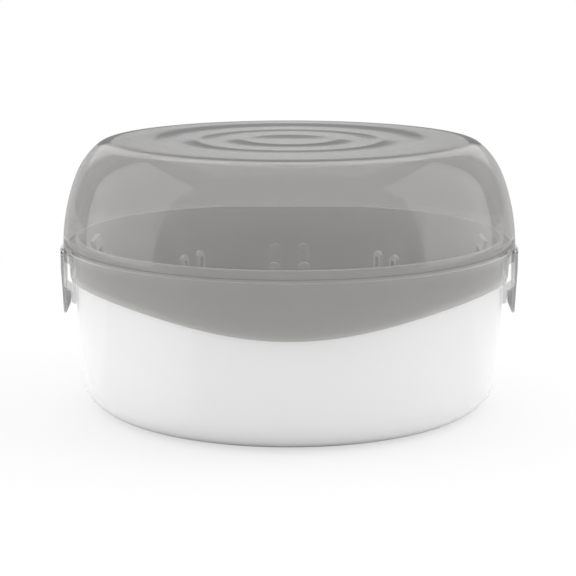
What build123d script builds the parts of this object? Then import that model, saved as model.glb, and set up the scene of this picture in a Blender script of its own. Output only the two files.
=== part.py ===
from build123d import *
import math
import os

# Microwave bottle sterilizer: a white bowl with a bottle rack in it, under a clear smoke-grey lid
# that two hinged side clips hold down. Millimetres, +Z up, origin on the ground under the middle
# of the bowl, clips on +X and -X, front towards -Y.

# Bowl: outer line from the ground up is a corner arc, a bulged wall and an upright lip
bowl_rim_radius = 132.5
bowl_height = 107.2
bowl_corner_radius = 23.2
bowl_corner_lean = 7.0
bowl_wall_bulge = 278.0
bowl_wall = 2.8
bowl_corner_steps = 6
foot_ring_width = 9.3
foot_ring_height = 0.8

# Catch lug on each side of the bowl, with a nose for the clip's hook
lug_reach = 2.5
lug_half_width = 9.0
lug_height = 15.0
lug_below_rim = 29.2
lug_corner = 1.5
nose_above_lug_foot = 5.6
nose_height = 3.0
nose_depth = 2.2
nose_side_step = 2.4

# Lid: top, shoulder arc and wall arc down to the dome's edge, then a step in to the skirt
lid_wall = 2.0
top_edge_above_rim = 57.6
top_edge_bevel = 3.5
top_edge_bevel_drop = 1.0
shoulder_top_angle = 55.4
shoulder_foot_angle = 20.6
wall_curve = 124.0
dome_overhang = 3.0
dome_edge_below_rim = 4.5
dome_edge_draft = 1.6
dome_edge_round = 2.2
dome_edge_steps = 2
dome_shoulder_steps = 4
dome_inner_steps = 2
skirt_gap = 2.1
skirt_draft = 1.4

# Wavy lower edge of the lid: low at front and back, high over the lugs
wave_low_below_rim = 39.7
wave_above_lug = 4.5

# Ripples on the lid's top: low ridges round its middle with shallow valleys between them
ridge_radii = [29.9, 56.3, 84.4]
ridge_above_edge = 0.6
valley_depth = 0.5

# Ribs in the lid that stand on the bowl's rim and leave a way out for steam
seat_rib_count = 8
seat_rib_thickness = 2.0
seat_rib_reach = 2.2
seat_rib_height = 7.0
seat_rib_slope = 2.2
seat_gap = 0.05

# Clip hinge: the clip's barrel snaps over a bar between two ears of the lid
hinge_outset = 0.1
hinge_below_dome_edge = 6.2
hinge_bar_radius = 1.2
hinge_fit = 0.05
barrel_radius = 2.6
barrel_mouth = 1.9
ear_thickness = 3.0
ear_side_gap = 0.4
ear_rim = 0.7
ear_setback = 0.4
ear_below_hinge = 8.8
ear_foot_slope = 2.0

# Clip plate and hook
clip_half_width = 11.0
clip_plate = 2.6
clip_crown_radius = 44.0
clip_below_hinge = 2.7
hook_clearance = 0.5
hook_below_lug_top = 0.4
hook_slope = 3.6
hook_bevel_above_lug_foot = 2.2
clip_tip_below_lug = 5.1
clip_tip_width = 0.8
clip_tip_rise = 1.7
hook_pocket_room = 2.9

# Rack: a wheel of bars with six bottle places round a hub, on six feet, and two lifting arms.
# The arms are moulded with the wheel; they are nodes of their own, set on pads of its ring.
rack_clearance = 1.1
rack_leg = 9.2
rack_bar_height = 4.5
rack_bar = 2.4
place_count = 6
place_radius = 33.0
hub_radius = 14.0
prong_below_rim = 19.2
prong_width = 8.0
prong_thickness = 2.4
prong_offset = 9.4
prong_window = 3.4
prong_window_base = 12.0
arm_below_rim = 3.2
arm_wall_gap = 7.6
arm_foot_outside_ring = 3.0
arm_top_width = 3.0
arm_foot_width = 5.0
arm_half_width = 15.0
arm_grip_half = 9.0
arm_grip_height = 17.0
arm_bar_height = 7.0
rack_foot_width = 8.0
rack_foot_gap = 0.05

# How far a cutting shape runs past what it cuts, and how deep a fused root is buried
cut_margin = 10.0
root_bury = 1.0

# Places that follow from the sizes above
bulge_drop = (bowl_wall_bulge - bowl_corner_radius) * (1 - math.cos(math.radians(bowl_corner_lean)))
bowl_foot_radius = bowl_rim_radius - bowl_corner_radius - bulge_drop
lug_face_x = bowl_rim_radius + lug_reach
lug_top_z = bowl_height - lug_below_rim
lug_bottom_z = lug_top_z - lug_height
nose_bottom_z = lug_bottom_z + nose_above_lug_foot
nose_half_width = lug_half_width - nose_side_step
skirt_top_radius = bowl_rim_radius + skirt_gap + lid_wall
dome_edge_radius = skirt_top_radius + dome_overhang
dome_edge_z = bowl_height - dome_edge_below_rim
top_edge_z = bowl_height + top_edge_above_rim
lid_top_z = top_edge_z + ridge_above_edge
wave_low_z = bowl_height - wave_low_below_rim
wave_high_z = lug_top_z + wave_above_lug
hinge_x = dome_edge_radius + hinge_outset
hinge_z = dome_edge_z - hinge_below_dome_edge
ear_inner_y = clip_half_width - ear_thickness
barrel_half_width = ear_inner_y - ear_side_gap
clip_face_x = hinge_x + barrel_radius
clip_inner_x = clip_face_x - clip_plate
clip_tip_z = lug_bottom_z - clip_tip_below_lug
rack_floor_z = bowl_wall + rack_leg
rack_ring_radius = bowl_foot_radius - rack_clearance
rack_top_z = rack_floor_z + rack_bar_height
arm_foot_x = rack_ring_radius + arm_foot_outside_ring
place_pitch_radius = rack_ring_radius - place_radius - rack_bar / 2


def polar(centre_x, centre_z, radius, degrees):
    angle = math.radians(degrees)
    return (centre_x + radius * math.cos(angle), centre_z + radius * math.sin(angle))


def arc(centre_x, centre_z, radius, start, end):
    ends = [polar(centre_x, centre_z, radius, a) for a in (start, (start + end) / 2, end)]
    return ThreePointArc(*ends)


def stepped(curve, steps):
    # The curve as straight steps between points on it
    return Polyline(*[curve @ (i / steps) for i in range(steps + 1)])


def closed(lines):
    return lines + [Line(lines[-1] @ 1, lines[0] @ 0)]


def revolved(lines):
    return revolve(Plane.XZ * make_face(lines), axis=Axis.Z)


def slab(points, half_width):
    # A prism of an XZ outline, as wide in Y as twice the half width
    outline = make_face(Polyline(*points, close=True))
    return extrude(Plane.XZ * outline, amount=half_width, both=True)


def block(low, high):
    # A box from its lowest to its highest corner
    sizes = [b - a for a, b in zip(low, high)]
    middle = [(a + b) / 2 for a, b in zip(low, high)]
    return Pos(*middle) * Box(*sizes)


def cylinder_y(x, z, radius, half_width):
    return extrude(Plane.XZ * Pos(x, z) * Circle(radius), amount=half_width, both=True)


def ring(radius, bottom_z, height, thickness):
    band = Circle(radius + thickness / 2) - Circle(radius - thickness / 2)
    return Pos(0, 0, bottom_z) * extrude(band, amount=height)


def mirrored(shape, side):
    return shape if side > 0 else mirror(shape, about=Plane.YZ)


def bowl_lines(inset, corner_steps):
    # Corner, bulge and lip of the bowl's outer line, moved inwards by the inset
    joint = polar(bowl_foot_radius, bowl_corner_radius, bowl_corner_radius, -bowl_corner_lean)
    bulge_centre = polar(*joint, -bowl_wall_bulge, -bowl_corner_lean)
    corner = arc(
        bowl_foot_radius, bowl_corner_radius, bowl_corner_radius - inset, -90, -bowl_corner_lean
    )
    bulge = arc(*bulge_centre, bowl_wall_bulge - inset, -bowl_corner_lean, 0)
    lip = Line(bulge @ 1, (bowl_rim_radius - inset, bowl_height))
    return stepped(corner, corner_steps), bulge, lip


def bowl_solid(corner, bulge, lip):
    bottom = Line((0, (corner @ 0).Y), corner @ 0)
    top = Line(lip @ 1, (0, bowl_height))
    return revolved(closed([bottom, corner, bulge, lip, top]))


def make_bowl():
    bowl = bowl_solid(*bowl_lines(0, bowl_corner_steps))
    corner, bulge, lip = bowl_lines(bowl_wall, bowl_corner_steps // 2)
    bowl -= bowl_solid(corner, stepped(bulge, 1), lip)
    bowl -= Cylinder(bowl_foot_radius - foot_ring_width, 2 * foot_ring_height)
    for side in (1, -1):
        bowl += mirrored(catch_lug(), side)
    return bowl


def catch_lug():
    # Lug on the +X side; its root is buried in the middle of the wall
    root_x = bowl_rim_radius - bowl_wall / 2
    lug = block((root_x, -lug_half_width, lug_bottom_z), (lug_face_x, lug_half_width, lug_top_z))
    outer_edges = lug.edges().filter_by(Axis.Y).group_by(Axis.X)[-1]
    lug = fillet(outer_edges, lug_corner)
    nose_root_x = lug_face_x - root_bury
    nose_tip_x = lug_face_x + nose_depth
    nose = slab(
        [
            (nose_root_x, nose_bottom_z),
            (nose_tip_x, nose_bottom_z),
            (nose_tip_x, nose_bottom_z + nose_height / 3),
            (nose_root_x, nose_bottom_z + nose_height),
        ],
        nose_half_width,
    )
    return lug + nose


def wall_centre():
    return polar(dome_edge_radius, dome_edge_z, -wall_curve, dome_edge_draft)


def shoulder_radius():
    # The radius that brings the shoulder from the wall arc up to the top's edge
    foot_sine = math.sin(math.radians(shoulder_foot_angle))
    top_sine = math.sin(math.radians(shoulder_top_angle))
    rise = top_edge_z - wall_centre()[1] - wall_curve * foot_sine
    return rise / (top_sine - foot_sine)


def shoulder_arc(inset, top_z):
    # The shoulder from the given height down to the wall, moved inwards by the inset
    radius = shoulder_radius() - inset
    centre = polar(*wall_centre(), wall_curve - shoulder_radius(), shoulder_foot_angle)
    top_angle = math.degrees(math.asin((top_z - centre[1]) / radius))
    return arc(*centre, radius, top_angle, shoulder_foot_angle)


def dome_lines(inset, edge_steps):
    # Wall, edge and ledge of the dome, moved inwards by the inset
    wall = arc(*wall_centre(), wall_curve - inset, shoulder_foot_angle, dome_edge_draft)
    edge_centre = polar(*wall_centre(), wall_curve - dome_edge_round, dome_edge_draft)
    edge = arc(*edge_centre, dome_edge_round - inset, dome_edge_draft, -90)
    ledge = Line(edge @ 1, (skirt_top_radius - inset, (edge @ 1).Y))
    return wall, stepped(edge, edge_steps), ledge


def rippled_top(shoulder_start):
    # Flat middle, ridges and valleys, then the slope and the bevel of the top's edge
    edge_radius = (shoulder_arc(0, top_edge_z) @ 0).X
    valley_z = lid_top_z - valley_depth
    points = [(0, valley_z)]
    inner_radius = 0
    for radius in ridge_radii:
        points.append(((inner_radius + radius) / 2, valley_z))
        points.append((radius, lid_top_z))
        inner_radius = radius
    points.append((edge_radius - top_edge_bevel, top_edge_z))
    return Polyline(*points, shoulder_start)


def lid_solid(top, shoulder, wall, edge, ledge, draft, bottom_z):
    corner = ledge @ 1
    narrowing = (corner.Y - bottom_z) * math.tan(math.radians(draft))
    skirt = Line(corner, (corner.X - narrowing, bottom_z))
    base = Line(skirt @ 1, (0, bottom_z))
    return revolved(closed([top, shoulder, wall, edge, ledge, skirt, base]))


def wave_cutter():
    # Everything under the wavy edge line
    reach = dome_edge_radius + cut_margin
    middle_z = (wave_low_z + wave_high_z) / 2
    half = skirt_top_radius / 2
    wave = Spline(
        (-skirt_top_radius, wave_high_z),
        (-half, middle_z),
        (0, wave_low_z),
        (half, middle_z),
        (skirt_top_radius, wave_high_z),
        tangents=((1, 0), (1, 0)),
    )
    floor_z = wave_low_z - 3 * cut_margin
    left = Line((-reach, wave_high_z), wave @ 0)
    right = Line(wave @ 1, (reach, wave_high_z))
    under = Polyline(right @ 1, (reach, floor_z), (-reach, floor_z), left @ 0)
    outline = Plane.XZ * make_face([left, wave, right, under])
    return extrude(outline, amount=reach, both=True)


def seat_rib():
    bottom_z = bowl_height + seat_gap
    top_z = bottom_z + seat_rib_height
    inner_x = bowl_rim_radius - seat_rib_reach
    slope_x = skirt_top_radius - seat_rib_slope
    return slab(
        [
            (inner_x, bottom_z),
            (dome_edge_radius, bottom_z),
            (dome_edge_radius, top_z),
            (slope_x, top_z),
        ],
        seat_rib_thickness / 2,
    )


def hinge_mount():
    # On the +X side: two ears that hang from the dome's ledge beside the skirt, and their bar
    root_x = skirt_top_radius - lid_wall / 2
    face_x = hinge_x - ear_setback
    foot_z = hinge_z - ear_below_hinge
    ear = slab(
        [
            (root_x, foot_z - ear_foot_slope),
            (face_x, foot_z),
            (face_x, dome_edge_z),
            (root_x, dome_edge_z),
        ],
        clip_half_width,
    )
    ear += cylinder_y(hinge_x, hinge_z, hinge_bar_radius + ear_rim, clip_half_width)
    between = block(
        (0, -ear_inner_y, foot_z - 2 * ear_foot_slope),
        (hinge_x + cut_margin, ear_inner_y, lid_top_z),
    )
    bar = cylinder_y(hinge_x, hinge_z, hinge_bar_radius, clip_half_width)
    return ear - between + bar


def make_lid():
    shoulder = stepped(shoulder_arc(0, top_edge_z - top_edge_bevel_drop), dome_shoulder_steps)
    top = rippled_top(shoulder @ 0)
    dome = dome_lines(0, dome_edge_steps)
    outside = lid_solid(top, shoulder, *dome, skirt_draft, wave_low_z - cut_margin)
    shoulder = stepped(shoulder_arc(lid_wall, top_edge_z - lid_wall), dome_inner_steps)
    top = Line((0, (shoulder @ 0).Y), shoulder @ 0)
    wall, edge, ledge = dome_lines(lid_wall, 1)
    dome = (stepped(wall, dome_inner_steps), edge, ledge)
    inside = lid_solid(top, shoulder, *dome, 0, wave_low_z - 2 * cut_margin)
    lid = outside - inside - wave_cutter()
    for number in range(seat_rib_count):
        rib = Rot(0, 0, 360 / seat_rib_count * (number + 0.5)) * seat_rib()
        lid += rib & outside
    for side in (1, -1):
        lid += mirrored(hinge_mount(), side)
    return lid


def make_clip():
    # Clip on the +X side: plate and neck with a crowned face, hook, and the barrel on the bar
    shoulder_z = hinge_z - clip_below_hinge
    hook_face_x = lug_face_x + hook_clearance
    hook_top_z = lug_top_z - hook_below_lug_top
    uncut_x = clip_face_x + root_bury
    plate = slab(
        [
            (clip_inner_x, shoulder_z),
            (clip_inner_x, hook_top_z + hook_slope),
            (hook_face_x, hook_top_z),
            (hook_face_x, lug_bottom_z + hook_bevel_above_lug_foot),
            (clip_face_x - 2 * clip_tip_width, clip_tip_z),
            (clip_face_x - clip_tip_width, clip_tip_z + clip_tip_rise),
            (uncut_x, lug_top_z + hook_slope),
            (uncut_x, shoulder_z),
        ],
        clip_half_width,
    )
    neck = block(
        (clip_inner_x, -barrel_half_width, shoulder_z - root_bury),
        (clip_face_x, barrel_half_width, hinge_z),
    )
    barrel = cylinder_y(hinge_x, hinge_z, barrel_radius, barrel_half_width)
    crown_middle = Pos(clip_face_x - clip_crown_radius, 0, hinge_z)
    crown = crown_middle * Cylinder(clip_crown_radius, 4 * (hinge_z - lug_bottom_z))
    bore = cylinder_y(hinge_x, hinge_z, hinge_bar_radius + hinge_fit, clip_half_width)
    mouth = block(
        (hinge_x - barrel_radius - root_bury, -clip_half_width, hinge_z - barrel_mouth / 2),
        (hinge_x, clip_half_width, hinge_z + barrel_mouth / 2),
    )
    pocket_half = nose_half_width + hook_clearance
    pocket = block(
        (hook_face_x - root_bury, -pocket_half, nose_bottom_z - hook_clearance),
        (
            lug_face_x + nose_depth + 2 * hook_clearance,
            pocket_half,
            nose_bottom_z + nose_height + hook_pocket_room,
        ),
    )
    return ((plate + neck + barrel) & crown) - bore - mouth - pocket


def make_rack():
    middle_z = (rack_floor_z + rack_top_z) / 2
    rack = ring(rack_ring_radius, rack_floor_z, rack_bar_height, rack_bar)
    rack += ring(hub_radius, rack_floor_z, rack_bar_height, rack_bar)
    rack += Pos(0, 0, middle_z) * Box(2 * hub_radius, rack_bar, rack_bar_height)
    rack += prong_pair(0)
    for number in range(place_count):
        rack += Rot(0, 0, 360 / place_count * number) * bottle_place()
        rack += Rot(0, 0, 360 / place_count * (number + 0.5)) * rack_foot()
    pad = block(
        (arm_foot_x - arm_foot_width, -arm_half_width, rack_floor_z),
        (arm_foot_x, arm_half_width, rack_top_z),
    )
    for side in (1, -1):
        rack += mirrored(pad, side)
    return rack


def spoke():
    # Bar from the hub to the outer ring, towards the front
    middle_z = (rack_floor_z + rack_top_z) / 2
    length = rack_ring_radius - hub_radius
    return Pos(0, -hub_radius - length / 2, middle_z) * Box(rack_bar, length, rack_bar_height)


def bottle_place():
    # One bottle place, at the front: a spoke, a bar across it and a pair of prongs
    middle_z = (rack_floor_z + rack_top_z) / 2
    bar_length = 2 * place_pitch_radius * math.tan(math.pi / place_count)
    bar = Box(bar_length + rack_bar, rack_bar, rack_bar_height)
    return spoke() + Pos(0, -place_pitch_radius, middle_z) * bar + prong_pair(-place_pitch_radius)


def rack_foot():
    # A spoke between two bottle places, with the foot that stands on the bowl's floor
    bottom_z = bowl_wall + rack_foot_gap
    height = rack_top_z - bottom_z
    place = Pos(0, rack_foot_width / 2 - rack_ring_radius, bottom_z + height / 2)
    return spoke() + place * Box(rack_foot_width, rack_foot_width, height)


def prong_pair(place_y):
    # Two arched prongs side by side: the post that an upturned bottle drops over
    arch_z = bowl_height - prong_below_rim - prong_width / 2
    window_z = rack_top_z + prong_window_base
    leg = Pos(0, (rack_floor_z + arch_z) / 2) * Rectangle(prong_width, arch_z - rack_floor_z)
    window = Pos(0, (window_z + arch_z) / 2) * Rectangle(prong_window, arch_z - window_z)
    outline = leg + Pos(0, arch_z) * Circle(prong_width / 2) - window
    prong = extrude(Plane.XZ * outline, amount=prong_thickness / 2, both=True)
    return Pos(prong_offset, place_y, 0) * prong + Pos(-prong_offset, place_y, 0) * prong


def make_lift_arm():
    # Leaning lifting arm on the +X side, with a finger opening under its top bar
    top_x = bowl_rim_radius - bowl_wall - arm_wall_gap
    top_z = bowl_height - arm_below_rim
    arm = slab(
        [
            (arm_foot_x - arm_foot_width, rack_top_z),
            (arm_foot_x, rack_top_z),
            (top_x, top_z),
            (top_x - arm_top_width, top_z),
        ],
        arm_half_width,
    )
    grip_top_z = top_z - arm_bar_height
    grip = block(
        (rack_ring_radius, -arm_grip_half, grip_top_z - arm_grip_height),
        (bowl_rim_radius, arm_grip_half, grip_top_z),
    )
    return arm - grip


os.makedirs("parts", exist_ok=True)
nodes = {
    "base_bowl": make_bowl(),
    "bottle_rack": make_rack(),
    "left_lift_arm": mirrored(make_lift_arm(), -1),
    "right_lift_arm": make_lift_arm(),
    "lid": make_lid(),
    "left_clip": mirrored(make_clip(), -1),
    "right_clip": make_clip(),
}
for name, shape in nodes.items():
    export_step(shape, f"parts/{name}.step")
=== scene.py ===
import math

import bmesh
import bpy
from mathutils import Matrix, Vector


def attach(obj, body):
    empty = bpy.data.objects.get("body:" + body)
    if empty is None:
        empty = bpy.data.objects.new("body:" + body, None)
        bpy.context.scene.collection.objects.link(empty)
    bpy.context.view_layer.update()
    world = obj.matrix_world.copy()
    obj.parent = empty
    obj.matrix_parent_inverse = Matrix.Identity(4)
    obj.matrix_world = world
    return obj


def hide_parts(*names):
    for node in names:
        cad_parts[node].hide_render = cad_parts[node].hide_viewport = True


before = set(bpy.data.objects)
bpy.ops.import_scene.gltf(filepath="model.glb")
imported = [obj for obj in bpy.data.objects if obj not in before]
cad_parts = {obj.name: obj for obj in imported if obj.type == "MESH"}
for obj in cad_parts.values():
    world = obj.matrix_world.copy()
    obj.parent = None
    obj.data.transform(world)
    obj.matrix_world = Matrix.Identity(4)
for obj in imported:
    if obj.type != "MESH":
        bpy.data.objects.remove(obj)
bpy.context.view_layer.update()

# Camera: fitted to the outline and to the ellipses of the lid and the bowl
CAMERA_DISTANCE = 1.15
CAMERA_ELEVATION = math.radians(11.155)
CAMERA_AIM = Vector((0.0, 0.0, 0.07142))
CAMERA_LENS = 114.9
CAMERA_SHIFT = -0.00226

# Studio, in metres; azimuth 0 is the camera's side and 180 degrees is behind the object
WORLD_GREY = 0.8
LAMP_AIM = Vector((0.0, 0.0, 0.1))
SOFTBOX_RADIANCE = 0.5
SIDE_FILL_RADIANCE = (2.4, 2.2)
SOFTBOX_DISTANCE = 1.1
SOFTBOX_AZIMUTH = math.radians(91.5)
SOFTBOX_ELEVATION = math.radians(23.0)
SOFTBOX_SIZE = (1.05, 1.3)
TOP_RADIANCE = 0.75
TOP_PLACE = Vector((0.0, 0.5, 1.6))
TOP_SIZE = (1.6, 1.6)
FLOOR_RADIUS = 6.0
FLOOR_SIDES = 96
FLOOR_FADE_START = 0.2
FLOOR_FADE_END = 0.55
FLOOR_WHITE = 0.88
FLOOR_LIFT = 0.6
FLOOR_GLOSS = 0.5

# What gloss shows of the studio, as azimuth in degrees and brightness, low down and higher up
LOW_STOPS = (
    (0, 0.75), (57, 0.75), (60, 0.4), (67, 0.4), (70, 0.7), (115, 0.7),
    (121, 0.3), (142, 0.3), (150, 0.5), (172, 0.42), (177, 0.5), (180, 0.55),
)
HIGH_STOPS = (
    (0, 0.6), (118, 0.6), (128, 0.35), (146, 0.35), (152, 0.95), (168, 0.95),
    (176, 0.5), (180, 0.5),
)
HIGH_START = 0.115
HIGH_END = 0.19

# Plastics: darkest and lightest tint of the clear ones, and the power of the tint in lamplight
DOME_TINTS = ((0.575, 0.57, 0.56), (0.585, 0.58, 0.57))
EDGE_TINTS = ((0.59, 0.585, 0.575), (0.60, 0.595, 0.585))
CLIP_TINTS = ((0.61, 0.61, 0.615), (0.63, 0.63, 0.635))
# The hinge pieces get a far lighter copy of the clip's plastic, painted light so their stacked
# layers don't go dark
HINGE_PAINTED_LIGHT_TINTS = ((0.88, 0.88, 0.88), (0.90, 0.90, 0.90))
DOME_SHADE = 0.36
THIN_SHADE = 0.5
PLASTIC_IOR = 1.5
THIN_IOR = 1.004
CLEAR_ROUGHNESS = 0.004
# Solid grey of the painted highlight line along the lid's rolled edge, drawn in place of its
# reflection
PAINTED_HIGHLIGHT_GREY = 0.33
PAINTED_HIGHLIGHT_ROUGHNESS = 0.3
WHITE_GREY = 0.785
WHITE_ROUGHNESS = 0.22
SOLID_COAT = 0.8
SOLID_COAT_ROUGHNESS = 0.05
GREY_SPREAD = 0.01
ROUGHNESS_SPREAD = 0.05
GRAIN_DEPTH = 0.00002
GRAIN_STRENGTH = 0.3

# Noise scales, in cycles per metre
TINT_NOISE = 9.0
CLEAR_NOISE = 30.0
GREY_NOISE = 14.0
SOLID_NOISE = 60.0
GRAIN_NOISE = 900.0

# The lid's fine outline, in millimetres: ridged top, top edge, shoulder, wall, rolled edge, skirt
LID_WALL = 2.0
RIDGE_RADII = (29.9, 56.3, 84.4)
RIDGE_Z = 165.4
VALLEY_DEPTH = 0.25
VALLEY_STEPS = 10
TOP_EDGE_Z = 164.8
TOP_EDGE_ROUND = 12.0
SHOULDER_FOOT = 20.6
SHOULDER_TOP = 55.4
WALL_CURVE = 124.0
EDGE_RADIUS = 139.6
EDGE_Z = 102.7
EDGE_DRAFT = 1.6
EDGE_ROUND = 2.2
SKIRT_RADIUS = 136.6
SKIRT_DRAFT = 1.4
SKIRT_FILLET = 0.8
SKIRT_LIP = 1.0
WAVE_LOW = 67.5
WAVE_HIGH = 82.5
SKIRT_SHARES = (0.25, 0.5, 0.75)
INNER_LEDGE_STEP = 1.0
INNER_TAPER_BELOW = 1.0
INNER_TOP_RADII = (80, 40, 0)
THIN_ZONE_ABOVE = 5.0
# Height of the band above the ledge that carries the painted highlight line
PAINTED_HIGHLIGHT_BAND = 0.9

# The bowl's fine outline, in millimetres
BOWL_RADIUS = 132.5
BOWL_HEIGHT = 107.2
BOWL_WALL = 2.8
BOWL_CORNER = 23.2
BOWL_LEAN = 7.0
BOWL_BULGE = 278.0
BOWL_MIDDLE = 80.0
LIP_ROUND = 0.6
FOOT_RING = 9.3
FOOT_RISE = 0.8
FOOT_SLOPE = 0.5
FOOT_EDGE = 0.3

# Catch lug on each side of the bowl, in millimetres
LUG_FACE = 135.0
LUG_TOP = 78.0
LUG_BOTTOM = 63.0
LUG_HALF_WIDTH = 9.0
LUG_EDGE = 1.2
NOSE_BOTTOM = 68.6
NOSE_HEIGHT = 3.0
NOSE_DEPTH = 2.2
NOSE_SINK = 1.0
NOSE_HALF_WIDTH = 6.6
NOSE_EDGE = 0.4

# Hinge ears of the lid, in millimetres
HINGE_X = 139.7
HINGE_Z = 96.5
HINGE_BAR = 1.2
EAR_FACE = 139.3
EAR_FOOT = 90.2
EAR_SLOPE = 2.0
EAR_SINK = 1.0
EAR_INNER = 8.0
EAR_OUTER = 11.0
EAR_EDGE = 0.5

# Clips: plate under the hinge, hook, neck and barrel, in millimetres
CLIP_HALF_WIDTH = 11.0
CLIP_FACE = 142.3
FACE_TRIM = 1.0
CLIP_CROWN = 44.0
CLIP_TOP = 93.8
CLIP_TIP = 57.9
CLIP_TAPER_TOP = 84.0
CLIP_EDGE = 0.5
CLIP_SLICES = 9
PLATE_INNER = 139.7
HOOK_FACE = 135.45
HOOK_TOP = 74.4
HOOK_SLOPE = 3.0
HOOK_FOOT = 65.2
HOOK_GAP = 0.03
NOSE_ROOM = 68.1
NOSE_GAP = 0.5
NECK_HALF_WIDTH = 7.6
NECK_OVERLAP = 1.0
NECK_ROOM = 0.3
NECK_CORNER = 0.5
BARREL = 2.6
BARREL_MOUTH = 50.0
BORE = 1.25
BORE_WALL = 0.2
# Inwards from the clip's face and up from its tip
TIP_OUTLINE = ((4.3, 0.8), (3.6, 0.0), (2.9, 0.0), (2.3, 0.9))

RACK_EDGE = 0.4

PER_METRE = 1000
TURN_STEPS = 256
EDGE_SEGMENTS = 3
EDGE_ANGLE = math.radians(35.0)


def node(tree, kind, **settings):
    made = tree.nodes.new(kind)
    for name, value in settings.items():
        setattr(made, name, value)
    return made


def material(name):
    made = bpy.data.materials.new(name)
    made.use_nodes = True
    made.node_tree.nodes.clear()
    output = node(made.node_tree, "ShaderNodeOutputMaterial")
    return made, made.node_tree, output


def noise(tree, scale, detail=2.0):
    # Noise over the object's own coordinates
    place = node(tree, "ShaderNodeTexCoord")
    made = node(tree, "ShaderNodeTexNoise")
    made.inputs["Scale"].default_value = scale
    made.inputs["Detail"].default_value = detail
    tree.links.new(place.outputs["Object"], made.inputs["Vector"])
    return made.outputs["Fac"]


def ranged(tree, source, low, high):
    made = node(tree, "ShaderNodeMapRange")
    made.inputs["To Min"].default_value = low
    made.inputs["To Max"].default_value = high
    tree.links.new(source, made.inputs["Value"])
    return made.outputs["Result"]


def mixed(tree, source, first, second):
    made = node(tree, "ShaderNodeMix", data_type="RGBA")
    made.inputs["A"].default_value = (*first, 1)
    made.inputs["B"].default_value = (*second, 1)
    tree.links.new(source, made.inputs["Factor"])
    return made.outputs["Result"]


def bumped(tree, source, distance, strength):
    made = node(tree, "ShaderNodeBump")
    made.inputs["Distance"].default_value = distance
    made.inputs["Strength"].default_value = strength
    tree.links.new(source, made.inputs["Height"])
    return made.outputs["Normal"]


def either(tree, outputs):
    # 1 where any of these Light Path outputs is 1
    path = node(tree, "ShaderNodeLightPath")
    socket = path.outputs[outputs[0]]
    for name in outputs[1:]:
        larger = node(tree, "ShaderNodeMath", operation="MAXIMUM")
        tree.links.new(socket, larger.inputs[0])
        tree.links.new(path.outputs[name], larger.inputs[1])
        socket = larger.outputs[0]
    return socket


def blended(tree, factor, first, second):
    made = node(tree, "ShaderNodeMixShader")
    tree.links.new(factor, made.inputs["Fac"])
    tree.links.new(first, made.inputs[1])
    tree.links.new(second, made.inputs[2])
    return made.outputs["Shader"]


def clear_plastic(name, tints, bending, coat, shade):
    # Clear grey plastic that lets the lamps' light through with its own tint
    made, tree, output = material(name)
    shader = node(tree, "ShaderNodeBsdfPrincipled")
    shader.inputs["Transmission Weight"].default_value = 1.0
    shader.inputs["IOR"].default_value = bending
    shader.inputs["Coat Weight"].default_value = coat
    colour = mixed(tree, noise(tree, TINT_NOISE), *tints)
    tree.links.new(colour, shader.inputs["Base Color"])
    rough = ranged(tree, noise(tree, CLEAR_NOISE), 0.0, CLEAR_ROUGHNESS)
    tree.links.new(rough, shader.inputs["Roughness"])
    clear = node(tree, "ShaderNodeBsdfTransparent")
    clear.inputs["Color"].default_value = (*[channel**shade for channel in tints[1]], 1)
    lit = either(tree, ("Is Shadow Ray", "Is Diffuse Ray"))
    surface = blended(tree, lit, shader.outputs["BSDF"], clear.outputs["BSDF"])
    tree.links.new(surface, output.inputs["Surface"])
    return made


def solid_plastic(name, grey, roughness):
    made, tree, output = material(name)
    shader = node(tree, "ShaderNodeBsdfPrincipled")
    shader.inputs["IOR"].default_value = PLASTIC_IOR
    shader.inputs["Coat Weight"].default_value = SOLID_COAT
    shader.inputs["Coat Roughness"].default_value = SOLID_COAT_ROUGHNESS
    colour = mixed(tree, noise(tree, GREY_NOISE), (grey,) * 3, (grey + GREY_SPREAD,) * 3)
    tree.links.new(colour, shader.inputs["Base Color"])
    rough = ranged(tree, noise(tree, SOLID_NOISE), roughness, roughness + ROUGHNESS_SPREAD)
    tree.links.new(rough, shader.inputs["Roughness"])
    grain = noise(tree, GRAIN_NOISE, detail=3.0)
    normal = bumped(tree, grain, GRAIN_DEPTH, GRAIN_STRENGTH)
    tree.links.new(normal, shader.inputs["Normal"])
    tree.links.new(shader.outputs["BSDF"], output.inputs["Surface"])
    return made


def finished(shown, finish):
    shown.data.materials.clear()
    shown.data.materials.append(finish)
    for face in shown.data.polygons:
        face.use_smooth = True


def in_metres(points):
    return [(x / PER_METRE, y / PER_METRE, z / PER_METRE) for x, y, z in points]


def mesh_object(name, points, faces):
    data = bpy.data.meshes.new(name)
    data.from_pydata(points, [], faces)
    made = bpy.data.objects.new(name, data)
    bpy.context.scene.collection.objects.link(made)
    return made


def bevelled(shown, width):
    bevel = shown.modifiers.new("rounded_edges", "BEVEL")
    bevel.width = width / PER_METRE
    bevel.segments = EDGE_SEGMENTS
    bevel.limit_method = "ANGLE"
    bevel.angle_limit = EDGE_ANGLE
    bevel.harden_normals = True


def polar(centre_x, centre_z, radius, degrees):
    angle = math.radians(degrees)
    return (centre_x + radius * math.cos(angle), centre_z + radius * math.sin(angle))


def arc_points(centre, radius, start, end, steps):
    return [polar(*centre, radius, start + (end - start) * i / steps) for i in range(steps + 1)]


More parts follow.
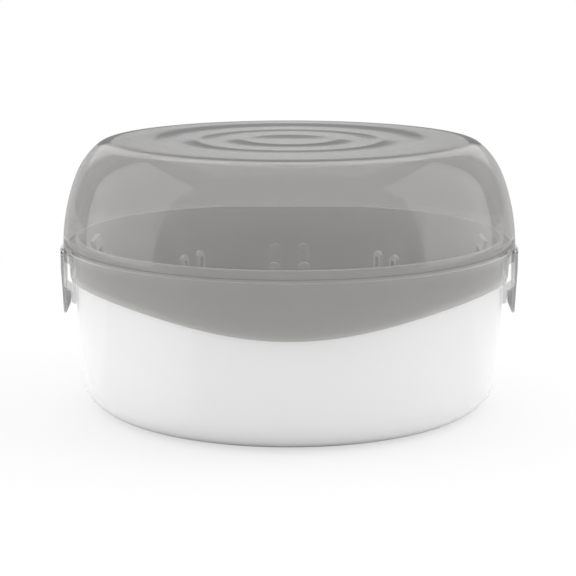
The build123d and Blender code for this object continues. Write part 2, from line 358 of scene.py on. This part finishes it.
def turned(name, outline, place=None):
    # A closed outline of radius and height, from the axis out and back to it, turned about Z
    points = []
    faces = []
    first_ring = []
    for radius, height in outline:
        first_ring.append(len(points))
        if radius == 0:
            points.append((0, 0, height))
            continue
        for i in range(TURN_STEPS):
            angle = 2 * math.pi * i / TURN_STEPS
            x = radius * math.cos(angle)
            y = radius * math.sin(angle)
            points.append((x, y, place(x, height) if place else height))
    for row in range(len(outline) - 1):
        a = first_ring[row]
        b = first_ring[row + 1]
        for i in range(TURN_STEPS):
            j = (i + 1) % TURN_STEPS
            if outline[row][0] == 0:
                faces.append((a, b + i, b + j))
            elif outline[row + 1][0] == 0:
                faces.append((a + i, b, a + j))
            else:
                faces.append((a + i, b + i, b + j, a + j))
    return mesh_object(name, in_metres(points), faces)


def drawn(name, rings):
    # Rings with the same number of points, joined one to the next and closed at both ends
    count = len(rings[0])
    points = [point for ring in rings for point in ring]
    faces = [tuple(range(count)), tuple(range(len(points) - count, len(points)))]
    for a in range(0, len(points) - count, count):
        for i in range(count):
            j = (i + 1) % count
            faces.append((a + i, a + count + i, a + count + j, a + j))
    made = mesh_object(name, in_metres(points), faces)
    mesh = bmesh.new()
    mesh.from_mesh(made.data)
    bmesh.ops.recalc_face_normals(mesh, faces=mesh.faces)
    mesh.to_mesh(made.data)
    mesh.free()
    return made


def prism(name, outline, side, low_y, high_y):
    # A closed XZ outline of the right side, pulled along Y
    return drawn(name, [[(side * x, y, z) for x, z in outline] for y in (low_y, high_y)])


def crowned(name, outline, side, low_y, high_y):
    # The same in slices, with its outer face cut to the clip's crown
    rings = []
    for i in range(CLIP_SLICES + 1):
        y = low_y + (high_y - low_y) * i / CLIP_SLICES
        limit = CLIP_FACE - CLIP_CROWN + math.sqrt(CLIP_CROWN**2 - y**2)
        rings.append([(side * min(x, limit), y, z) for x, z in outline])
    return drawn(name, rings)


def dome_outline():
    # Top edge, shoulder and wall, down to the rolled edge
    wall_centre = polar(EDGE_RADIUS, EDGE_Z, -WALL_CURVE, EDGE_DRAFT)
    foot_sine = math.sin(math.radians(SHOULDER_FOOT))
    top_sine = math.sin(math.radians(SHOULDER_TOP))
    rise = TOP_EDGE_Z - wall_centre[1] - WALL_CURVE * foot_sine
    shoulder_radius = rise / (top_sine - foot_sine)
    shoulder_centre = polar(*wall_centre, WALL_CURVE - shoulder_radius, SHOULDER_FOOT)
    round_z = TOP_EDGE_Z - TOP_EDGE_ROUND
    round_rise = round_z - shoulder_centre[1]
    reach = shoulder_radius - TOP_EDGE_ROUND
    round_x = shoulder_centre[0] + math.sqrt(reach**2 - round_rise**2)
    meeting = math.degrees(math.asin(round_rise / reach))
    outline = arc_points((round_x, round_z), TOP_EDGE_ROUND, 90, meeting, steps=10)
    outline += arc_points(shoulder_centre, shoulder_radius, meeting, SHOULDER_FOOT, steps=12)[1:]
    outline += arc_points(wall_centre, WALL_CURVE, SHOULDER_FOOT, EDGE_DRAFT, steps=14)[1:]
    return outline


def roll_centre():
    # Centre of the rolled edge's round, which touches the end of the wall's arc
    wall_centre = polar(EDGE_RADIUS, EDGE_Z, -WALL_CURVE, EDGE_DRAFT)
    return polar(*wall_centre, WALL_CURVE - EDGE_ROUND, EDGE_DRAFT)


def ridged_top():
    # Shallow valleys between low ridges, with the flat middle inside the first
    outline = [(0, RIDGE_Z - VALLEY_DEPTH)]
    inner = 0
    for ridge in RIDGE_RADII:
        for i in range(1, VALLEY_STEPS + 1):
            share = i / VALLEY_STEPS
            sag = 4 * VALLEY_DEPTH * share * (1 - share)
            if inner == 0:
                sag = VALLEY_DEPTH * math.cos(math.pi * share / 2) ** 2
            outline.append((inner + (ridge - inner) * share, RIDGE_Z - sag))
        inner = ridge
    return outline


def lid_outline(ledge_z):
    outline = ridged_top() + dome_outline()
    outline += arc_points(roll_centre(), EDGE_ROUND, EDGE_DRAFT, -90, steps=8)[1:]
    narrowing = (ledge_z - WAVE_LOW) * math.tan(math.radians(SKIRT_DRAFT))
    foot_radius = SKIRT_RADIUS - narrowing
    fillet_centre = (SKIRT_RADIUS + SKIRT_FILLET, ledge_z - SKIRT_FILLET)
    outline += arc_points(fillet_centre, SKIRT_FILLET, 90, 180, steps=4)
    for share in SKIRT_SHARES:
        z = fillet_centre[1] + (WAVE_LOW + SKIRT_LIP - fillet_centre[1]) * share
        outline.append((SKIRT_RADIUS - narrowing * share, z))
    inner_radius = SKIRT_RADIUS - LID_WALL
    half = (foot_radius - inner_radius) / 2
    outline += arc_points((inner_radius + half, WAVE_LOW + half), half, 0, -180, steps=6)
    inner_ledge = ledge_z + LID_WALL
    for share in (*SKIRT_SHARES, 1):
        outline.append((inner_radius, WAVE_LOW + half + (inner_ledge - WAVE_LOW - half) * share))
    outline.append((EDGE_RADIUS - LID_WALL - INNER_LEDGE_STEP, inner_ledge))
    start = EDGE_Z - INNER_TAPER_BELOW
    for x, z in reversed(dome_outline()):
        # The inner face runs further in than the wall is thick, so that no band goes dark
        taper = (z - start) / (TOP_EDGE_Z - start)
        outline.append((x - LID_WALL, z - LID_WALL * taper))
    outline += [(radius, TOP_EDGE_Z - LID_WALL) for radius in INNER_TOP_RADII]
    return outline


def wavy(x, z):
    # The skirt's heights, stretched so that its lower edge follows the wave
    ledge_z = EDGE_Z - EDGE_ROUND
    if z >= ledge_z:
        return z
    middle = (WAVE_LOW + WAVE_HIGH) / 2
    edge_z = middle + (WAVE_LOW - middle) * math.cos(math.pi * x / SKIRT_RADIUS)
    return ledge_z - (ledge_z - z) * (ledge_z - edge_z) / (ledge_z - WAVE_LOW)


def make_lid_shell(finish, thin_finish, painted_highlight_finish):
    # The dome's finish above, one that bends light less below, and a painted highlight line on
    # the ridge
    ledge_z = roll_centre()[1] - EDGE_ROUND
    profile = lid_outline(ledge_z)
    lid = turned("lid_shell", profile, wavy)
    finished(lid, finish)
    lid.data.materials.append(thin_finish)
    lid.data.materials.append(painted_highlight_finish)
    for face in lid.data.polygons:
        row = face.index // TURN_STEPS
        height = (profile[row][1] + profile[row + 1][1]) / 2
        if ledge_z < height < ledge_z + PAINTED_HIGHLIGHT_BAND:
            # Painted highlight line along the ridge, in opaque grey
            face.material_index = 2
        elif height < EDGE_Z + THIN_ZONE_ABOVE:
            face.material_index = 1
    return lid


def make_lid(finish, thin_finish, painted_highlight_finish, ear_finish, bar_painted_light_finish):
    lid = make_lid_shell(finish, thin_finish, painted_highlight_finish)
    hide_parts("lid")
    pieces = [lid]
    ear_root = SKIRT_RADIUS - EAR_SINK
    ear_outline = [
        (ear_root, EAR_FOOT - EAR_SLOPE),
        (EAR_FACE, EAR_FOOT),
        (EAR_FACE, EDGE_Z - EDGE_ROUND),
        (ear_root, EDGE_Z - EDGE_ROUND),
    ]
    bar_outline = arc_points((HINGE_X, HINGE_Z), HINGE_BAR, 0, 360, steps=24)[:-1]
    for side, name in ((1, "right"), (-1, "left")):
        for end, place in ((1, "rear"), (-1, "front")):
            low, high = sorted((end * EAR_INNER, end * EAR_OUTER))
            ear = prism(f"{name}_{place}_ear", ear_outline, side, low, high)
            finished(ear, ear_finish)
            bevelled(ear, EAR_EDGE)
            pieces.append(ear)
        bar = prism(f"{name}_hinge_bar", bar_outline, side, -EAR_INNER, EAR_INNER)
        # Hinge bar in the lighter plastic, painted light against the dark of the stacked layers
        finished(bar, bar_painted_light_finish)
        pieces.append(bar)
    for piece in pieces:
        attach(piece, "lid")


def bowl_outline():
    drop = (BOWL_BULGE - BOWL_CORNER) * (1 - math.cos(math.radians(BOWL_LEAN)))
    foot = BOWL_RADIUS - BOWL_CORNER - drop
    corner = (foot, BOWL_CORNER)
    joint = polar(*corner, BOWL_CORNER, -BOWL_LEAN)
    bulge = polar(*joint, -BOWL_BULGE, -BOWL_LEAN)
    recess = foot - FOOT_RING
    outline = [(0, FOOT_RISE), (recess - FOOT_SLOPE, FOOT_RISE)]
    outline += [(recess, FOOT_RISE - FOOT_EDGE), (recess, FOOT_EDGE), (recess + FOOT_EDGE, 0)]
    outline += arc_points(corner, BOWL_CORNER, -90, -BOWL_LEAN, steps=20)
    outline += arc_points(bulge, BOWL_BULGE, -BOWL_LEAN, 0, steps=12)[1:]
    outline += [(BOWL_RADIUS, BOWL_MIDDLE)]
    lip_z = BOWL_HEIGHT - LIP_ROUND
    inner_lip = (BOWL_RADIUS - BOWL_WALL + LIP_ROUND, lip_z)
    outline += arc_points((BOWL_RADIUS - LIP_ROUND, lip_z), LIP_ROUND, 0, 90, steps=5)
    outline += arc_points(inner_lip, LIP_ROUND, 90, 180, steps=5)
    outline += arc_points(bulge, BOWL_BULGE - BOWL_WALL, 0, -BOWL_LEAN, steps=12)
    outline += arc_points(corner, BOWL_CORNER - BOWL_WALL, -BOWL_LEAN, -90, steps=12)[1:]
    outline += [(0, BOWL_WALL)]
    return outline[::-1]


def make_bowl(finish):
    bowl = turned("bowl_shell", bowl_outline())
    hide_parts("base_bowl")
    pieces = [bowl]
    lug_root = BOWL_RADIUS - BOWL_WALL / 2
    lug_outline = [
        (lug_root, LUG_BOTTOM),
        (LUG_FACE, LUG_BOTTOM),
        (LUG_FACE, LUG_TOP),
        (lug_root, LUG_TOP),
    ]
    nose_root = LUG_FACE - NOSE_SINK
    nose_tip = LUG_FACE + NOSE_DEPTH
    nose_outline = [
        (nose_root, NOSE_BOTTOM),
        (nose_tip, NOSE_BOTTOM),
        (nose_tip, NOSE_BOTTOM + NOSE_HEIGHT / 3),
        (nose_root, NOSE_BOTTOM + NOSE_HEIGHT),
    ]
    for side, name in ((1, "right"), (-1, "left")):
        lug = prism(f"{name}_lug", lug_outline, side, -LUG_HALF_WIDTH, LUG_HALF_WIDTH)
        bevelled(lug, LUG_EDGE)
        nose = prism(f"{name}_lug_nose", nose_outline, side, -NOSE_HALF_WIDTH, NOSE_HALF_WIDTH)
        bevelled(nose, NOSE_EDGE)
        pieces += [lug, nose]
    for piece in pieces:
        finished(piece, finish)
        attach(piece, "base")


def make_clip(side, name, finish, hinge_painted_light_finish):
    # Outlines that reach past the face, for the crown to cut
    beyond = CLIP_FACE + FACE_TRIM
    plate_top = [(beyond, CLIP_TAPER_TOP), (beyond, CLIP_TOP), (PLATE_INNER, CLIP_TOP)]
    tip = [(CLIP_FACE - inward, CLIP_TIP + up) for inward, up in TIP_OUTLINE]
    foot = [(HOOK_FACE, HOOK_FOOT)] + tip + plate_top
    hook = [(PLATE_INNER, HOOK_TOP), (HOOK_FACE, HOOK_TOP - HOOK_SLOPE)] + foot
    catch = [(PLATE_INNER, NOSE_ROOM), (HOOK_FACE, NOSE_ROOM)] + foot
    under_bar = HINGE_Z - BORE - NECK_ROOM
    neck_outline = [
        (PLATE_INNER, CLIP_TOP - NECK_OVERLAP),
        (beyond, CLIP_TOP - NECK_OVERLAP),
        (beyond, HINGE_Z),
        (PLATE_INNER + BORE + BORE_WALL, HINGE_Z),
        (PLATE_INNER + NECK_CORNER, under_bar),
        (PLATE_INNER, under_bar),
    ]
    hinge = (HINGE_X, HINGE_Z)
    opening = 180 - BARREL_MOUTH
    barrel_outline = arc_points(hinge, BARREL, opening, -opening, steps=20)
    barrel_outline += arc_points(hinge, BORE, -opening, opening, steps=20)
    middle = NOSE_HALF_WIDTH + NOSE_GAP
    pieces = [
        crowned(f"{name}_plate", catch, side, -middle, middle),
        crowned(f"{name}_front_hook", hook, side, -CLIP_HALF_WIDTH, -middle - HOOK_GAP),
        crowned(f"{name}_rear_hook", hook, side, middle + HOOK_GAP, CLIP_HALF_WIDTH),
    ]
    hinge_pieces = [
        crowned(f"{name}_neck", neck_outline, side, -NECK_HALF_WIDTH, NECK_HALF_WIDTH),
        crowned(f"{name}_barrel", barrel_outline, side, -NECK_HALF_WIDTH, NECK_HALF_WIDTH),
    ]
    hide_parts(name)
    for piece in pieces:
        finished(piece, finish)
    # Neck and barrel in the lighter plastic, painted light against the dark of the stacked layers
    for piece in hinge_pieces:
        finished(piece, hinge_painted_light_finish)
    for piece in pieces + hinge_pieces:
        bevelled(piece, CLIP_EDGE)
        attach(piece, name)


def dress_rack(finish):
    for name in ("bottle_rack", "left_lift_arm", "right_lift_arm"):
        finished(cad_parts[name], finish)
        bevelled(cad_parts[name], RACK_EDGE)


def make_floor():
    # White floor that keeps the object's shadow near it and fades into the backdrop further out
    ring = [2 * math.pi * i / FLOOR_SIDES for i in range(FLOOR_SIDES)]
    points = [(FLOOR_RADIUS * math.cos(a), FLOOR_RADIUS * math.sin(a), 0) for a in ring]
    floor = mesh_object("floor", points, [list(range(FLOOR_SIDES))])
    made, tree, output = material("floor")
    place = node(tree, "ShaderNodeTexCoord")
    length = node(tree, "ShaderNodeVectorMath", operation="LENGTH")
    tree.links.new(place.outputs["Object"], length.inputs[0])
    fade = node(tree, "ShaderNodeMapRange", interpolation_type="SMOOTHSTEP")
    fade.inputs["From Min"].default_value = FLOOR_FADE_START
    fade.inputs["From Max"].default_value = FLOOR_FADE_END
    tree.links.new(length.outputs["Value"], fade.inputs["Value"])
    seen = either(tree, ("Is Camera Ray", "Is Transmission Ray"))
    lift = node(tree, "ShaderNodeMath", operation="MULTIPLY")
    lift.inputs[1].default_value = FLOOR_LIFT
    tree.links.new(seen, lift.inputs[0])
    share = node(tree, "ShaderNodeMath", operation="MAXIMUM")
    tree.links.new(fade.outputs["Result"], share.inputs[0])
    tree.links.new(lift.outputs["Value"], share.inputs[1])
    shader = node(tree, "ShaderNodeBsdfDiffuse")
    shader.inputs["Color"].default_value = (FLOOR_WHITE, FLOOR_WHITE, FLOOR_WHITE, 1)
    white = node(tree, "ShaderNodeEmission")
    # Rays through the clear plastic are glossy and transmission rays at once, and see white
    reflected = node(tree, "ShaderNodeMath", operation="SUBTRACT", use_clamp=True)
    tree.links.new(either(tree, ("Is Glossy Ray",)), reflected.inputs[0])
    tree.links.new(either(tree, ("Is Transmission Ray",)), reflected.inputs[1])
    gloss = ranged(tree, reflected.outputs["Value"], 1.0, FLOOR_GLOSS)
    tree.links.new(gloss, white.inputs["Strength"])
    surface = blended(
        tree, share.outputs["Value"], shader.outputs["BSDF"], white.outputs["Emission"]
    )
    tree.links.new(surface, output.inputs["Surface"])
    floor.data.materials.append(made)


def area_lamp(name, place, size, radiance, in_gloss):
    data = bpy.data.lights.new(name, "AREA")
    data.shape = "RECTANGLE"
    data.size, data.size_y = size
    data.energy = radiance * math.pi * size[0] * size[1]
    lamp = bpy.data.objects.new(name, data)
    bpy.context.scene.collection.objects.link(lamp)
    lamp.location = place
    lamp.rotation_euler = (LAMP_AIM - place).to_track_quat("-Z", "Y").to_euler()
    lamp.visible_camera = False
    lamp.visible_glossy = in_gloss


def make_lamps():
    # A softbox on each side, with a fill in its place that gloss doesn't show, and a light above
    out = math.sin(SOFTBOX_AZIMUTH) * math.cos(SOFTBOX_ELEVATION)
    back = -math.cos(SOFTBOX_AZIMUTH) * math.cos(SOFTBOX_ELEVATION)
    up = math.sin(SOFTBOX_ELEVATION)
    for side, name, fill_radiance in zip((1, -1), ("right", "left"), SIDE_FILL_RADIANCE):
        place = Vector((side * out, back, up)) * SOFTBOX_DISTANCE
        area_lamp(f"{name}_softbox", place, SOFTBOX_SIZE, SOFTBOX_RADIANCE, True)
        area_lamp(f"{name}_fill", place, SOFTBOX_SIZE, fill_radiance, False)
    area_lamp("top_light", TOP_PLACE, TOP_SIZE, TOP_RADIANCE, False)


def grey_ramp(tree, share, stops):
    ramp = node(tree, "ShaderNodeValToRGB")
    marks = ramp.color_ramp.elements
    while len(marks) > 1:
        marks.remove(marks[-1])
    marks[0].position = 0
    marks[0].color = (*[stops[0][1]] * 3, 1)
    for degrees, grey in stops[1:]:
        marks.new(degrees / 180).color = (grey, grey, grey, 1)
    tree.links.new(share, ramp.inputs["Fac"])
    return ramp.outputs["Color"]


def studio_shades(tree):
    # Brightness round the horizon by azimuth from the camera's side, and the ceiling's above
    place = node(tree, "ShaderNodeTexCoord")
    parts = node(tree, "ShaderNodeSeparateXYZ")
    tree.links.new(place.outputs["Generated"], parts.inputs["Vector"])
    side = node(tree, "ShaderNodeMath", operation="ABSOLUTE")
    tree.links.new(parts.outputs["X"], side.inputs[0])
    ahead = node(tree, "ShaderNodeMath", operation="MULTIPLY")
    ahead.inputs[1].default_value = -1.0
    tree.links.new(parts.outputs["Y"], ahead.inputs[0])
    azimuth = node(tree, "ShaderNodeMath", operation="ARCTAN2")
    tree.links.new(side.outputs["Value"], azimuth.inputs[0])
    tree.links.new(ahead.outputs["Value"], azimuth.inputs[1])
    share = node(tree, "ShaderNodeMapRange")
    share.inputs["From Max"].default_value = math.pi
    tree.links.new(azimuth.outputs["Value"], share.inputs["Value"])
    height = node(tree, "ShaderNodeMapRange", interpolation_type="SMOOTHSTEP")
    height.inputs["From Min"].default_value = HIGH_START
    height.inputs["From Max"].default_value = HIGH_END
    tree.links.new(parts.outputs["Z"], height.inputs["Value"])
    shade = node(tree, "ShaderNodeMix", data_type="RGBA")
    tree.links.new(height.outputs["Result"], shade.inputs["Factor"])
    tree.links.new(grey_ramp(tree, share.outputs["Result"], LOW_STOPS), shade.inputs["A"])
    tree.links.new(grey_ramp(tree, share.outputs["Result"], HIGH_STOPS), shade.inputs["B"])
    return shade.outputs["Result"]


def make_world():
    # Grey for the light, the studio's shades for gloss, and white behind the object
    world = bpy.data.worlds.new("studio")
    world.use_nodes = True
    bpy.context.scene.world = world
    tree = world.node_tree
    tree.nodes.clear()
    output = node(tree, "ShaderNodeOutputWorld")
    grey = node(tree, "ShaderNodeBackground")
    grey.inputs["Color"].default_value = (WORLD_GREY, WORLD_GREY, WORLD_GREY, 1)
    backdrop = node(tree, "ShaderNodeBackground")
    tree.links.new(studio_shades(tree), backdrop.inputs["Color"])
    white = node(tree, "ShaderNodeBackground")
    white.inputs["Color"].default_value = (1, 1, 1, 1)
    reflected = either(tree, ("Is Glossy Ray",))
    gloss = blended(tree, reflected, grey.outputs["Background"], backdrop.outputs["Background"])
    seen = either(tree, ("Is Camera Ray", "Is Transmission Ray"))
    surface = blended(tree, seen, gloss, white.outputs["Background"])
    tree.links.new(surface, output.inputs["Surface"])


def make_camera():
    data = bpy.data.cameras.new("camera")
    data.lens = CAMERA_LENS
    data.shift_x = CAMERA_SHIFT
    camera = bpy.data.objects.new("camera", data)
    bpy.context.scene.collection.objects.link(camera)
    back = Vector((0, -math.cos(CAMERA_ELEVATION), math.sin(CAMERA_ELEVATION)))
    camera.location = CAMERA_AIM + back * CAMERA_DISTANCE
    camera.rotation_euler = (-back).to_track_quat("-Z", "Y").to_euler()
    bpy.context.scene.camera = camera


dome_smoke = clear_plastic("smoke_plastic", DOME_TINTS, PLASTIC_IOR, coat=0.0, shade=DOME_SHADE)
clip_smoke = clear_plastic("clip_plastic", CLIP_TINTS, THIN_IOR, coat=1.0, shade=THIN_SHADE)
edge_smoke = clear_plastic("edge_plastic", EDGE_TINTS, THIN_IOR, coat=1.0, shade=THIN_SHADE)
# A lighter copy of the clip's plastic, painted light for the hinge's stacked layers
hinge_painted_light = clear_plastic("hinge_painted_light_plastic", HINGE_PAINTED_LIGHT_TINTS, THIN_IOR, coat=1.0, shade=THIN_SHADE)
# Opaque grey for the painted highlight line along the lid's rolled edge
painted_highlight_plastic = solid_plastic("ridge_painted_highlight", PAINTED_HIGHLIGHT_GREY, PAINTED_HIGHLIGHT_ROUGHNESS)
white_plastic = solid_plastic("white_plastic", WHITE_GREY, WHITE_ROUGHNESS)
make_lid(dome_smoke, edge_smoke, painted_highlight_plastic, clip_smoke, hinge_painted_light)
make_bowl(white_plastic)
make_clip(-1, "left_clip", clip_smoke, hinge_painted_light)
make_clip(1, "right_clip", clip_smoke, hinge_painted_light)
dress_rack(white_plastic)
make_floor()
make_lamps()
make_world()
make_camera()
bpy.context.scene.view_settings.view_transform = "Standard"
